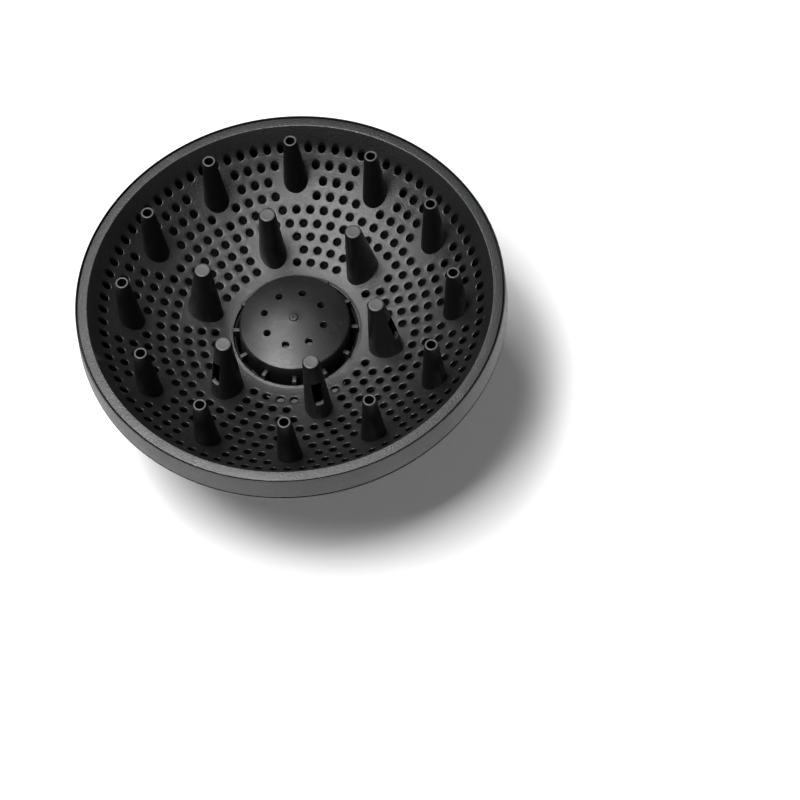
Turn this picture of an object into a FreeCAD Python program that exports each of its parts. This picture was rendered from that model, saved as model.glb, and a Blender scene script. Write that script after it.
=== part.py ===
"""Clip-on diffuser for a salon hair dryer.

A shallow perforated dish carries a ring of hollow outer fingers and a ring of closed inner fingers, each with a
window in its side. A deflector disc on a ribbed ring covers the middle of the dish. A rim band joins the dish to
a bell-shaped rear housing, whose neck holds a soft ring that grips the dryer's barrel.

Frame: the origin is the centre of the neck's end face, +Z runs along the axis and out of the dish, +X runs
through an outer finger. Lengths are in millimetres and angles in degrees.
"""
import FreeCAD, Part
import math
import os
import re
import Sketcher

SIZES = {
    # Overall
    "rim_height": 74.0,            # neck end face to the rim's flat top
    "rim_radius": 86.0,            # outer radius of the rim band at its foot

    # Rim band
    "band_height": 10.7,
    "band_draft": 0.65,            # the band's top edge is this much smaller in radius than its foot
    "band_lip": 0.35,              # wall left beside the reveal
    "band_wall": 2.8,              # wall at the foot
    "reveal_gap": 0.45,            # shadow line between the dish's rim and the band
    "ledge_drop": 2.4,             # rim top to the ledge that carries the dish
    "skirt_clearance": 0.1,

    # Dish
    "rim_inner_radius": 80.6,
    "rim_fall": 0.35,              # the rim's flat slopes down this much towards its outer edge
    "skirt_thickness": 1.6,
    "skirt_depth": 7.6,            # rim top to the skirt's foot
    "dish_wall": 2.0,
    "wall_foot_radius": 76.0,      # where the curved floor turns into the wall
    "wall_foot_drop": 7.3,
    "floor_mid_radius": 54.0,
    "floor_mid_drop": 21.6,
    "floor_opening_radius": 25.4,
    "floor_opening_drop": 29.5,
    "floor_inner_arc": 119.0,
    "floor_outer_arc": 74.0,
    "rim_edge_round": 0.5,

    # Perforations: rings of round holes, each ring with fewer holes than the one outside it
    "hole_radius": 1.55,
    "hole_rings": 9,
    "hole_ring_outer": 75.3,
    "hole_ring_pitch": 5.35,
    "hole_count_outer": 84,
    "hole_count_step": 6,
    "hole_margin": 0.6,            # land kept between a hole and a finger

    # Outer fingers
    "outer_count": 12,
    "outer_circle": 65.2,
    "outer_rise": 11.3,            # finger tip above the rim top
    "outer_foot_drop": 19.0,       # rim top to the level where the foot has its radius
    "outer_foot_radius": 5.35,
    "outer_tip_radius": 2.7,
    "outer_bore_tip": 1.7,
    "outer_bore_foot": 3.2,
    "outer_peg_radius": 4.3,
    "outer_peg_rise": 7.0,         # foot level to the top of the peg, inside the finger
    "tip_round": 0.45,

    # Inner fingers
    "inner_count": 6,
    "inner_first_angle": 45.0,
    "inner_rise": 4.3,
    "inner_tip_near": 32.25,       # the tip's nearest and farthest points from the axis
    "inner_tip_far": 39.15,
    "inner_tip_half_width": 3.35,
    "inner_foot_near": 30.7,
    "inner_foot_far": 46.0,
    "inner_foot_half_width": 5.6,
    "inner_foot_drop": 29.0,       # rim top to the level where the foot has those sizes
    "inner_wall": 1.5,
    "inner_cap": 2.0,
    "inner_peg_radius": 4.0,
    "inner_peg_rise": 4.0,
    "inner_dish_radius": 2.6,
    "inner_dish_depth": 0.4,
    "window_width": 3.8,
    "window_top": 9.0,             # below the finger's tip
    "window_bottom": 21.0,
    "peg_length": 1.0,             # a finger's peg past the underside of the dish

    # Deflector
    "hub_radius": 22.3,
    "hub_drop": 18.6,              # rim top to the disc's crown
    "hub_edge_fall": 3.6,          # the disc's edge lies this much below its crown
    "hub_crown_arc": 71.0,
    "hub_foot_flare": 0.7,         # the skirt's foot stands out from the disc's edge
    "hub_plate": 4.1,              # crown to the flat underside of the disc
    "hub_skirt": 1.8,
    "hub_skirt_drop": 34.4,
    "hub_edge_round": 0.8,
    "hub_hole_radius": 1.4,
    "hub_hole_circle": 12.5,
    "hub_hole_count": 8,
    "hub_hole_angle": 30.0,
    "nub_radius": 1.9,
    "nub_height": 0.45,
    "nub_dimple_radius": 0.5,
    "nub_dimple_depth": 0.3,
    "rib_count": 12,
    "rib_width": 1.8,
    "rib_top_drop": 26.6,
    "ring_width": 1.1,
    "ring_top_drop": 30.6,
    "ring_foot_drop": 33.0,

    # Rear housing
    "housing_wall": 2.0,
    "shoulder_inset": 0.05,        # the housing's edge stands in from the band's foot
    "groove_height": 0.7,          # shadow line between the band and the housing
    "groove_depth": 0.9,
    "shell_knee_radius": 70.0,
    "shell_knee_drop": 32.0,
    "shell_root_radius": 33.0,
    "shell_root_drop": 45.0,
    "shell_side_arc": 45.0,
    "shell_back_arc": 120.0,
    "neck_root_drop": 51.0,

    # Neck and grip ring
    "barrel_radius": 23.6,         # grip ring's bore, which takes the dryer's barrel
    "grip_thickness": 1.6,
    "grip_start": 1.5,
    "grip_length": 20.0,
    "neck_wall": 2.2,
    "neck_lip_clearance": 0.3,     # the mouth's lip is this much wider than the grip ring's bore
    "stop_radius": 21.8,           # ledge that stops the barrel
}

doc = FreeCAD.newDocument("Diffuser")
sheet = doc.addObject("Spreadsheet::Sheet", "Sizes")
for row, (alias, number) in enumerate(SIZES.items(), start=1):
    sheet.set(f"A{row}", alias)
    sheet.set(f"B{row}", str(number))
    sheet.setAlias(f"B{row}", alias)
doc.recompute()


def formula(text):
    """The text with each size's name turned into a reference to its cell."""
    return re.sub(r"[a-z_]+", lambda word: "Sizes." + word.group() if word.group() in SIZES else word.group(), text)


def size(text):
    """The present value of a formula, in millimetres or degrees."""
    return float(sheet.evalExpression(formula(text)))


def new_body(name):
    """An empty body whose label names its node."""
    body = doc.addObject("PartDesign::Body", name)
    body.Label = name
    return body


def new_sketch(body, name, role):
    """A sketch on one of the body's own origin planes."""
    plane = next(item for item in body.Origin.OriginFeatures if item.Role == role)
    sketch = body.newObject("Sketcher::SketchObject", name)
    sketch.AttachmentSupport = [(plane, "")]
    sketch.MapMode = "FlatFace"
    return sketch


def pin_point(sketch, edge, vertex, across, up):
    """Ties one point of a sketch to formulas for its two coordinates."""
    for kind, text in (("DistanceX", across), ("DistanceY", up)):
        if text == "0":
            axis = -2 if kind == "DistanceX" else -1
            sketch.addConstraint(Sketcher.Constraint("PointOnObject", edge, vertex, axis))
            continue
        index = sketch.addConstraint(Sketcher.Constraint(kind, -1, 1, edge, vertex, size(text)))
        sketch.setExpression(f"Constraints[{index}]", formula(text))


def outline(sketch, corners):
    """Closes an outline through the corners.

    A corner is (across, up) or (across, up, radius): with a radius, the edge that leaves it is an arc which bulges
    to the right of its direction of travel, or to the left where the radius has a minus sign in front.
    """
    spots = [FreeCAD.Vector(size(corner[0]), size(corner[1]), 0) for corner in corners]
    edges = []
    for index, corner in enumerate(corners):
        start = spots[index]
        end = spots[(index + 1) % len(spots)]
        if len(corner) == 2:
            edges.append((sketch.addGeometry(Part.LineSegment(start, end)), 1, 2))
            continue
        to_left = corner[2].startswith("-")
        radius = size(corner[2].lstrip("-"))
        chord = end - start
        right = FreeCAD.Vector(chord.y, -chord.x, 0).normalize() * (-1 if to_left else 1)
        sagitta = radius - math.sqrt(radius ** 2 - (chord.Length / 2) ** 2)
        arc = Part.Arc(start, (start + end) / 2 + right * sagitta, end)
        edge = sketch.addGeometry(arc)
        starts_here = sketch.getPoint(edge, 1).distanceToPoint(start) < 1e-6
        edges.append((edge, 1, 2) if starts_here else (edge, 2, 1))
        bound = sketch.addConstraint(Sketcher.Constraint("Radius", edge, radius))
        sketch.setExpression(f"Constraints[{bound}]", formula(corner[2].lstrip("-")))
    for index, (edge, first, last) in enumerate(edges):
        following, joint, _ = edges[(index + 1) % len(edges)]
        sketch.addConstraint(Sketcher.Constraint("Coincident", edge, last, following, joint))
        pin_point(sketch, edge, first, corners[index][0], corners[index][1])


def turned(body, name, corners, kind="PartDesign::Revolution", axis_at="0"):
    """An outline in the XZ plane turned a full circle about an upright axis, at a distance from the body's own."""
    sketch = new_sketch(body, name + "_outline", "XZ_Plane")
    outline(sketch, corners)
    feature = body.newObject(kind, name)
    feature.Profile = sketch
    feature.ReferenceAxis = (sketch, ["V_Axis"])
    if axis_at != "0":
        low = FreeCAD.Vector(size(axis_at), 0, 0)
        high = FreeCAD.Vector(size(axis_at), size("rim_height"), 0)
        line = sketch.addGeometry(Part.LineSegment(low, high), True)
        pin_point(sketch, line, 1, axis_at, "0")
        pin_point(sketch, line, 2, axis_at, "rim_height")
        feature.ReferenceAxis = (sketch, ["Axis0"])
    feature.Angle = 360
    sketch.Visibility = False
    return feature


def height(drop):
    """Formula for the level that lies a drop below the rim's top."""
    return f"rim_height - {drop}"


DISH_RIM_RADIUS = "(rim_radius - band_draft - band_lip - reveal_gap)"
BAND_INNER_RADIUS = "(rim_radius - band_wall)"
SKIRT_RADIUS = "(rim_radius - band_wall - skirt_clearance)"
NECK_BORE_RADIUS = "(barrel_radius + grip_thickness)"
GRIP_TOP = "(grip_start + grip_length)"
INNER_FOOT_CENTRE = "((inner_foot_near + inner_foot_far) / 2)"
INNER_TIP_CENTRE = "((inner_tip_near + inner_tip_far) / 2)"
INNER_TIP = "(rim_height + inner_rise)"
OUTER_TIP = "(rim_height + outer_rise)"
FLOOR_TOP = [
    ("floor_opening_radius", height("floor_opening_drop"), "floor_inner_arc"),
    ("floor_mid_radius", height("floor_mid_drop"), "floor_outer_arc"),
    ("wall_foot_radius", height("wall_foot_drop")),
]


def clear_below_floor(body):
    """Cuts away everything under the dish's upper surface, so that a finger's foot follows the dish."""
    deep = height("(floor_opening_drop * 2)")
    corners = FLOOR_TOP + [
        ("rim_radius", height("wall_foot_drop")),
        ("rim_radius", deep),
        ("0", deep),
        ("0", height("floor_opening_drop")),
    ]
    return turned(body, "foot_trim", corners, "PartDesign::Groove")


def raised_sketch(body, name, level):
    """A sketch parallel to the body's XY plane at a level."""
    sketch = new_sketch(body, name, "XY_Plane")
    sketch.AttachmentOffset = FreeCAD.Placement(FreeCAD.Vector(0, 0, size(level)), FreeCAD.Rotation())
    sketch.setExpression("AttachmentOffset.Base.z", formula(level))
    return sketch


def round_post(body, name, circle, radius, low, high, kind="PartDesign::Pad", angle="0"):
    """An upright round post, or with kind a round pocket, on a circle about the body's Z axis."""
    sketch = raised_sketch(body, name + "_circle", low)
    across = circle if angle == "0" else f"{circle} * cos({angle})"
    up = "0" if angle == "0" else f"{circle} * sin({angle})"
    centre = FreeCAD.Vector(size(across), size(up), 0)
    edge = sketch.addGeometry(Part.Circle(centre, FreeCAD.Vector(0, 0, 1), size(radius)))
    bound = sketch.addConstraint(Sketcher.Constraint("Radius", edge, size(radius)))
    sketch.setExpression(f"Constraints[{bound}]", formula(radius))
    pin_point(sketch, edge, 3, across, up)
    feature = body.newObject(kind, name)
    feature.Profile = sketch
    feature.setExpression("Length", formula(f"({high}) - ({low})"))
    feature.Reversed = kind == "PartDesign::Pocket"
    sketch.Visibility = False
    return feature


def slot_sketch(body, name, level, near, far, half_width):
    """A round-ended outline along the body's X axis, from its nearest to its farthest point."""
    sketch = raised_sketch(body, name, level)
    reach = size(half_width)
    up = FreeCAD.Vector(0, 0, 1)
    ends = []
    for text, first, last in ((f"{near} + {half_width}", math.pi / 2, math.pi * 3 / 2),
                              (f"{far} - ({half_width})", -math.pi / 2, math.pi / 2)):
        centre = FreeCAD.Vector(size(text), 0, 0)
        edge = sketch.addGeometry(Part.ArcOfCircle(Part.Circle(centre, up, reach), first, last))
        bound = sketch.addConstraint(Sketcher.Constraint("Radius", edge, reach))
        sketch.setExpression(f"Constraints[{bound}]", formula(half_width))
        pin_point(sketch, edge, 3, text, "0")
        ends.append(edge)
    for one, other in (ends, reversed(ends)):
        line = sketch.addGeometry(Part.LineSegment(sketch.getPoint(one, 2), sketch.getPoint(other, 1)))
        sketch.addConstraint(Sketcher.Constraint("Tangent", one, 2, line, 1))
        sketch.addConstraint(Sketcher.Constraint("Tangent", line, 2, other, 1))
    sketch.Visibility = False
    return sketch


def tapered(body, name, lower, upper, kind="PartDesign::AdditiveLoft"):
    """A straight-sided loft between two sketches."""
    loft = body.newObject(kind, name)
    loft.Profile = lower
    loft.Sections = [upper]
    loft.Ruled = True
    return loft


def around(body, name, feature, count):
    """Repeats a feature evenly about the body's Z axis."""
    pattern = body.newObject("PartDesign::PolarPattern", name)
    pattern.Originals = [feature]
    pattern.Axis = (next(item for item in body.Origin.OriginFeatures if item.Role == "Z_Axis"), [""])
    pattern.Angle = 360
    pattern.setExpression("Occurrences", formula(count))
    body.Tip = pattern
    return pattern


def round_edges(body, name, radius, level, least=0.0, most=1e9):
    """Rounds the body's level edges at a height, where they lie wholly between two distances from its Z axis."""
    doc.recompute()
    chosen = []
    for number, edge in enumerate(body.Shape.Edges, start=1):
        box = edge.BoundBox
        far = max(math.hypot(vertex.X, vertex.Y) for vertex in edge.Vertexes)
        if abs(box.ZMin - level) < 1e-4 and abs(box.ZMax - level) < 1e-4 and least < far < most:
            chosen.append(f"Edge{number}")
    base = body.Tip
    fillet = body.newObject("PartDesign::Fillet", name)
    fillet.Base = (base, chosen)
    fillet.setExpression("Radius", formula(radius))
    body.Tip = fillet
    return fillet


def turn_to(body, first_angle, count, number):
    """Turns a finished body about the object's axis to its place in an even ring."""
    text = f"{first_angle} + 360 / {count} * {number}"
    body.Placement = FreeCAD.Placement(FreeCAD.Vector(), FreeCAD.Vector(0, 0, 1), size(text))
    body.setExpression("Placement.Rotation.Angle", formula(text))


def perforations():
    """Positions of the round holes: even rings with a hole on +X, less those that a finger's foot would meet."""
    foot_reach = size("(inner_foot_far - inner_foot_near) / 2")
    feet = []
    for number in range(int(size("outer_count"))):
        turn = 2 * math.pi * number / size("outer_count")
        feet.append((size("outer_circle"), turn, size("outer_foot_radius"), size("outer_foot_radius")))
    for number in range(int(size("inner_count"))):
        turn = math.radians(size("inner_first_angle") + 360 * number / size("inner_count"))
        feet.append((size(INNER_FOOT_CENTRE), turn, foot_reach, size("inner_foot_half_width")))
    land = size("hole_radius + hole_margin")
    spots = []
    for ring in range(int(size("hole_rings"))):
        radius = size("hole_ring_outer") - ring * size("hole_ring_pitch")
        count = int(size("hole_count_outer") - ring * size("hole_count_step"))
        for number in range(count):
            turn = 2 * math.pi * number / count
            if not any(
                math.hypot((radius * math.cos(turn - foot_turn) - circle) / (reach + land),
                           radius * math.sin(turn - foot_turn) / (half_width + land)) < 1
                for circle, foot_turn, reach, half_width in feet
            ):
                spots.append((radius * math.cos(turn), radius * math.sin(turn)))
    return spots


def make_front_dish():
    """The dish with its flat rim and locating skirt, seats for the fingers, and the perforations."""
    body = new_body("dish_blank")
    top = FLOOR_TOP + [
        ("rim_inner_radius", "rim_height"),
        (DISH_RIM_RADIUS, height("rim_fall")),
        (DISH_RIM_RADIUS, height("ledge_drop")),
        (SKIRT_RADIUS, height("ledge_drop")),
        (SKIRT_RADIUS, height("skirt_depth")),
    ]
    under = [
        (f"{SKIRT_RADIUS} - skirt_thickness", height("skirt_depth")),
        (f"{SKIRT_RADIUS} - skirt_thickness", height("(ledge_drop + dish_wall * 0.7)")),
        ("wall_foot_radius + dish_wall * 0.5", height("(wall_foot_drop + dish_wall)"), "-floor_outer_arc"),
        ("floor_mid_radius", height("(floor_mid_drop + dish_wall)"), "-floor_inner_arc"),
        ("floor_opening_radius", height("(floor_opening_drop + dish_wall)")),
    ]
    turned(body, "bowl", top + under)
    seats = (("outer_seat", "outer_circle", "outer_peg_radius", "outer_count", "0"),
             ("inner_seat", INNER_FOOT_CENTRE, "inner_peg_radius", "inner_count", "inner_first_angle"))
    for name, circle, radius, count, angle in seats:
        seat = round_post(body, name, circle, radius, height("(floor_opening_drop + dish_wall)"), "rim_height",
                          "PartDesign::Pocket", angle)
        around(body, name + "s", seat, count)
    round_edges(body, "rim_edges", "rim_edge_round", size("rim_height"))

    # The left-out holes follow no pattern that a sketch can repeat, so the whole set is one tool.
    low = size(height("(floor_opening_drop + dish_wall + peg_length)"))
    drills = doc.addObject("Part::Feature", "perforation_drills")
    drills.Shape = Part.makeCompound([
        Part.makeCylinder(size("hole_radius"), size("rim_height") - low, FreeCAD.Vector(x, y, low))
        for x, y in perforations()
    ])
    dish = doc.addObject("Part::Cut", "front_dish")
    dish.Base = body
    dish.Tool = drills
    dish.Label = "front_dish"
    return dish


def make_outer_finger(number):
    """A hollow tapering finger, open at its tip, with a peg through its seat in the dish."""
    body = new_body(f"outer_finger_{number + 1:02d}")
    foot = height("outer_foot_drop")
    peg_low = height("(outer_foot_drop + dish_wall + peg_length)")
    turned(body, "cone", [
        ("outer_circle", foot),
        ("outer_circle + outer_foot_radius", foot),
        ("outer_circle + outer_tip_radius", OUTER_TIP),
        ("outer_circle", OUTER_TIP),
    ], axis_at="outer_circle")
    clear_below_floor(body)
    round_post(body, "peg", "outer_circle", "outer_peg_radius", peg_low, f"{foot} + outer_peg_rise")
    turned(body, "bore", [
        ("outer_circle", peg_low),
        ("outer_circle + outer_bore_foot", peg_low),
        ("outer_circle + outer_bore_tip", OUTER_TIP),
        ("outer_circle", OUTER_TIP),
    ], "PartDesign::Groove", "outer_circle")
    round_edges(body, "lip", "tip_round", size(OUTER_TIP))
    turn_to(body, "0", "outer_count", number)
    return body


def make_inner_finger(number):
    """A closed, flat-topped finger with a sloping outward side, a window in that side and a peg below."""
    body = new_body(f"inner_finger_{number + 1}")
    foot = height("inner_foot_drop")
    peg_low = height("(inner_foot_drop + dish_wall + peg_length)")
    tapered(body, "horn",
            slot_sketch(body, "foot_outline", foot, "inner_foot_near", "inner_foot_far", "inner_foot_half_width"),
            slot_sketch(body, "tip_outline", INNER_TIP, "inner_tip_near", "inner_tip_far", "inner_tip_half_width"))
    clear_below_floor(body)
    round_post(body, "peg", INNER_FOOT_CENTRE, "inner_peg_radius", peg_low, f"{foot} + inner_peg_rise")
    tapered(body, "hollow",
            slot_sketch(body, "hollow_foot", f"{foot} + inner_peg_rise - inner_wall",
                        "(inner_foot_near + inner_wall)", "(inner_foot_far - inner_wall * 2)",
                        "(inner_foot_half_width - inner_wall)"),
            slot_sketch(body, "hollow_tip", f"{INNER_TIP} - inner_cap",
                        "(inner_tip_near + inner_wall)", "(inner_tip_far - inner_wall)",
                        "(inner_tip_half_width - inner_wall)"),
            "PartDesign::SubtractiveLoft")
    round_post(body, "peg_bore", INNER_FOOT_CENTRE, "inner_peg_radius - inner_wall", peg_low,
               f"{foot} + inner_peg_rise", "PartDesign::Pocket")

    window = new_sketch(body, "window_outline", "YZ_Plane")
    window.AttachmentOffset = FreeCAD.Placement(FreeCAD.Vector(0, 0, size(INNER_TIP_CENTRE)), FreeCAD.Rotation())
    window.setExpression("AttachmentOffset.Base.z", formula(INNER_TIP_CENTRE))
    outline(window, [
        ("window_width / 2", f"{INNER_TIP} - window_bottom"),
        ("window_width / 2", f"{INNER_TIP} - window_top"),
        ("-window_width / 2", f"{INNER_TIP} - window_top"),
        ("-window_width / 2", f"{INNER_TIP} - window_bottom"),
    ])
    slot = body.newObject("PartDesign::Pocket", "window")
    slot.Profile = window
    slot.setExpression("Length", formula("inner_foot_far - inner_tip_near"))
    slot.Reversed = True
    window.Visibility = False
    round_edges(body, "tip_edge", "tip_round", size(INNER_TIP))
    round_post(body, "tip_dish", INNER_TIP_CENTRE, "inner_dish_radius", f"{INNER_TIP} - inner_dish_depth",
               INNER_TIP, "PartDesign::Pocket")
    turn_to(body, "inner_first_angle", "inner_count", number)
    return body


def make_hub_deflector():
    """The centre disc, its skirt, the ring that seats in the dish's opening, and the ribs between them."""
    body = new_body("hub_deflector")
    top = height("hub_drop")
    edge = height("(hub_drop + hub_edge_fall)")
    under = height("(hub_drop + hub_plate)")
    skirt_foot = height("hub_skirt_drop")
    turned(body, "cap", [
        ("0", f"{top} + nub_height - nub_dimple_depth"),
        ("nub_dimple_radius", f"{top} + nub_height - nub_dimple_depth"),
        ("nub_dimple_radius", f"{top} + nub_height"),
        ("nub_radius", f"{top} + nub_height"),
        ("nub_radius", top, "-hub_crown_arc"),
        ("hub_radius", edge),
        ("hub_radius + hub_foot_flare", skirt_foot),
        ("hub_radius + hub_foot_flare - hub_skirt", skirt_foot),
        ("hub_radius - hub_skirt", under),
        ("0", under),
    ])
    rib_outline = raised_sketch(body, "rib_outline", height("ring_foot_drop"))
    outline(rib_outline, [
        ("hub_radius - hub_skirt / 2", "-rib_width / 2"),
        ("floor_opening_radius - ring_width / 2", "-rib_width / 2"),
        ("floor_opening_radius - ring_width / 2", "rib_width / 2"),
        ("hub_radius - hub_skirt / 2", "rib_width / 2"),
    ])
    rib_outline.Visibility = False
    rib = body.newObject("PartDesign::Pad", "rib")
    rib.Profile = rib_outline
    rib.setExpression("Length", formula("ring_foot_drop - rib_top_drop"))
    around(body, "ribs", rib, "rib_count")
    turned(body, "seat_ring", [
        ("floor_opening_radius - ring_width", height("ring_foot_drop")),
        ("floor_opening_radius", height("ring_foot_drop")),
        ("floor_opening_radius", height("ring_top_drop")),
        ("floor_opening_radius - ring_width", height("ring_top_drop")),
    ])
    hole = round_post(body, "air_hole", "hub_hole_circle", "hub_hole_radius", under, top, "PartDesign::Pocket",
                      "hub_hole_angle")
    around(body, "air_holes", hole, "hub_hole_count")
    round_edges(body, "disc_edge", "hub_edge_round", size(edge), least=size("hub_radius") - 0.01)
    return body


def make_rim_band():
    """The outer trim ring: the dish rests on its ledge, and the rear housing's spigot stands inside it."""
    body = new_body("rim_band")
    lip = "rim_radius - band_draft - band_lip"
    foot = height("band_height")
    turned(body, "ring", [
        (BAND_INNER_RADIUS, foot),
        ("rim_radius", foot),
        ("rim_radius - band_draft", "rim_height"),
        (lip, "rim_height"),
        (lip, height("ledge_drop")),
        (BAND_INNER_RADIUS, height("ledge_drop")),
    ])
    return body


def make_rear_housing():
    """The bell from the rim band to the neck, with a spigot at its edge and the grip ring's groove in its neck."""
    body = new_body("rear_housing")
    edge = height("band_height")
    shoulder = "rim_radius - shoulder_inset"
    groove_foot = height("(band_height + groove_height)")
    mouth = "barrel_radius + neck_lip_clearance"
    neck = f"{NECK_BORE_RADIUS} + neck_wall"
    turned(body, "bell", [
        (f"{SKIRT_RADIUS} - skirt_thickness", height("skirt_depth")),
        (SKIRT_RADIUS, height("skirt_depth")),
        (SKIRT_RADIUS, edge),
        (f"{shoulder} - groove_depth", edge),
        (f"{shoulder} - groove_depth", groove_foot),
        (shoulder, groove_foot, "-shell_side_arc"),
        ("shell_knee_radius", height("shell_knee_drop"), "-shell_back_arc"),
        ("shell_root_radius", height("shell_root_drop")),
        (neck, height("neck_root_drop")),
        (neck, "0"),
        (mouth, "0"),
        (mouth, "grip_start"),
        (NECK_BORE_RADIUS, "grip_start"),
        (NECK_BORE_RADIUS, GRIP_TOP),
        ("stop_radius", GRIP_TOP),
        ("stop_radius", height("neck_root_drop")),
        ("shell_root_radius - housing_wall / 2", height("(shell_root_drop - housing_wall)"), "shell_back_arc"),
        ("shell_knee_radius - housing_wall * 0.6", height("(shell_knee_drop - housing_wall * 0.8)"),
         "shell_side_arc"),
        (f"{SKIRT_RADIUS} - skirt_thickness", height("(band_height + housing_wall)")),
    ])
    return body


def make_grip_ring():
    """The soft ring in the neck that grips the dryer's barrel."""
    body = new_body("neck_grip_ring")
    turned(body, "sleeve", [
        ("barrel_radius", "grip_start"),
        (NECK_BORE_RADIUS, "grip_start"),
        (NECK_BORE_RADIUS, GRIP_TOP),
        ("barrel_radius", GRIP_TOP),
    ])
    return body


def check(nodes):
    """Stops the build where any object failed or any sub-part has no valid solid."""
    for item in doc.Objects:
        if "Invalid" in item.State or "Error" in item.State:
            raise RuntimeError(f"{item.Name} failed: {item.State}")
    for node in nodes:
        if node.Shape.isNull() or not node.Shape.isValid() or len(node.Shape.Solids) != 1:
            raise RuntimeError(f"{node.Label} is not one valid solid")


def main():
    nodes = [make_front_dish(), make_hub_deflector(), make_rim_band(), make_rear_housing(), make_grip_ring()]
    nodes += [make_outer_finger(number) for number in range(int(size("outer_count")))]
    nodes += [make_inner_finger(number) for number in range(int(size("inner_count")))]
    doc.recompute()
    check(nodes)
    os.makedirs("parts", exist_ok=True)
    for node in nodes:
        node.Shape.exportStep(f"parts/{node.Label}.step")
        print(f"{node.Label}: {node.Shape.Volume:.1f} mm3")


main()
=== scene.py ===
"""Salon hair dryer diffuser: finished meshes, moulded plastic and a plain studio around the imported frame.

Every length is in metres in the frame's own axes: the origin is the centre of the neck's end face, +Z runs out of
the dish and +X runs through one outer finger. Sizes are written as millimetres times MM.
"""
import math

import bpy
from mathutils import Matrix, Vector


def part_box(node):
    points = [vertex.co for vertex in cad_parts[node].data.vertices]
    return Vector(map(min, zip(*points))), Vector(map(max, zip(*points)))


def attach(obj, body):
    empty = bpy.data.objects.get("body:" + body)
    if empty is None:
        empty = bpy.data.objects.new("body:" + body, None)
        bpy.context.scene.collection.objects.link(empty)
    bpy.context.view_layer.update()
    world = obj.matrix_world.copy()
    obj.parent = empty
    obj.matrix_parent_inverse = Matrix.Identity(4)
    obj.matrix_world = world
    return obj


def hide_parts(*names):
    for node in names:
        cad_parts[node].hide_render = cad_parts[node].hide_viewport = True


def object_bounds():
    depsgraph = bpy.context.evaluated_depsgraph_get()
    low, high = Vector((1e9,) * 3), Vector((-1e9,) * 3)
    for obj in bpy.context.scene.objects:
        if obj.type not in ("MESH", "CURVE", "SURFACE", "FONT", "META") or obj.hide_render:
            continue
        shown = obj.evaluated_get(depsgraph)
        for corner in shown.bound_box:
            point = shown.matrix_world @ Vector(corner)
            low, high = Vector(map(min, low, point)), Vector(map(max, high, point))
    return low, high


bl_info = {
    "name": "Dryer Diffuser",
    "version": (1, 0, 0),
    "blender": (4, 5, 0),
    "location": "3D View > Sidebar > Diffuser",
    "description": "Builds the finished look of a salon dryer diffuser",
    "category": "Add Mesh",
}

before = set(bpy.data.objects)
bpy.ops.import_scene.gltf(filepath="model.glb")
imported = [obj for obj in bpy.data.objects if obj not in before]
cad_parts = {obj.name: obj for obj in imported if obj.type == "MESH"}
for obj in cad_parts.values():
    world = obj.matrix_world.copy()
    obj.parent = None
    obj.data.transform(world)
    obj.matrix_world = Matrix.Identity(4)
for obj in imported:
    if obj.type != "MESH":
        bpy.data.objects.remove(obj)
CAD_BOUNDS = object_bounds()

MM = 0.001
BODY = "root"
SAME_PLACE = 1e-6              # points closer than this are one point
OUTER_COUNT = 12               # fingers near the wall
INNER_COUNT = 6                # fingers round the disc
RIM_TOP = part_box("rim_band")[1][2]
RIM_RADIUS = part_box("rim_band")[1][0]
OUTER_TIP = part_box("outer_finger_01")[1][2]
OUTER_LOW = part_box("outer_finger_01")[0][2]
INNER_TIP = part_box("inner_finger_1")[1][2]
INNER_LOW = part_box("inner_finger_1")[0][2]
HUB_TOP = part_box("hub_deflector")[1][2]
HUB_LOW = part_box("hub_deflector")[0][2]
GRIP_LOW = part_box("neck_grip_ring")[0][2]
GRIP_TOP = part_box("neck_grip_ring")[1][2]


def many(name, description, default):
    """A count that a user may change."""
    return bpy.props.IntProperty(name=name, description=description, default=default, min=1)


def length(name, description, default):
    """A length in metres that a user may change."""
    return bpy.props.FloatProperty(name=name, description=description, default=default, unit="LENGTH", precision=5)


def tint(name, description, default):
    """A colour that a user may change."""
    return bpy.props.FloatVectorProperty(name=name, description=description, default=default, size=4,
                                         subtype="COLOR", min=0.0, max=1.0)


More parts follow.
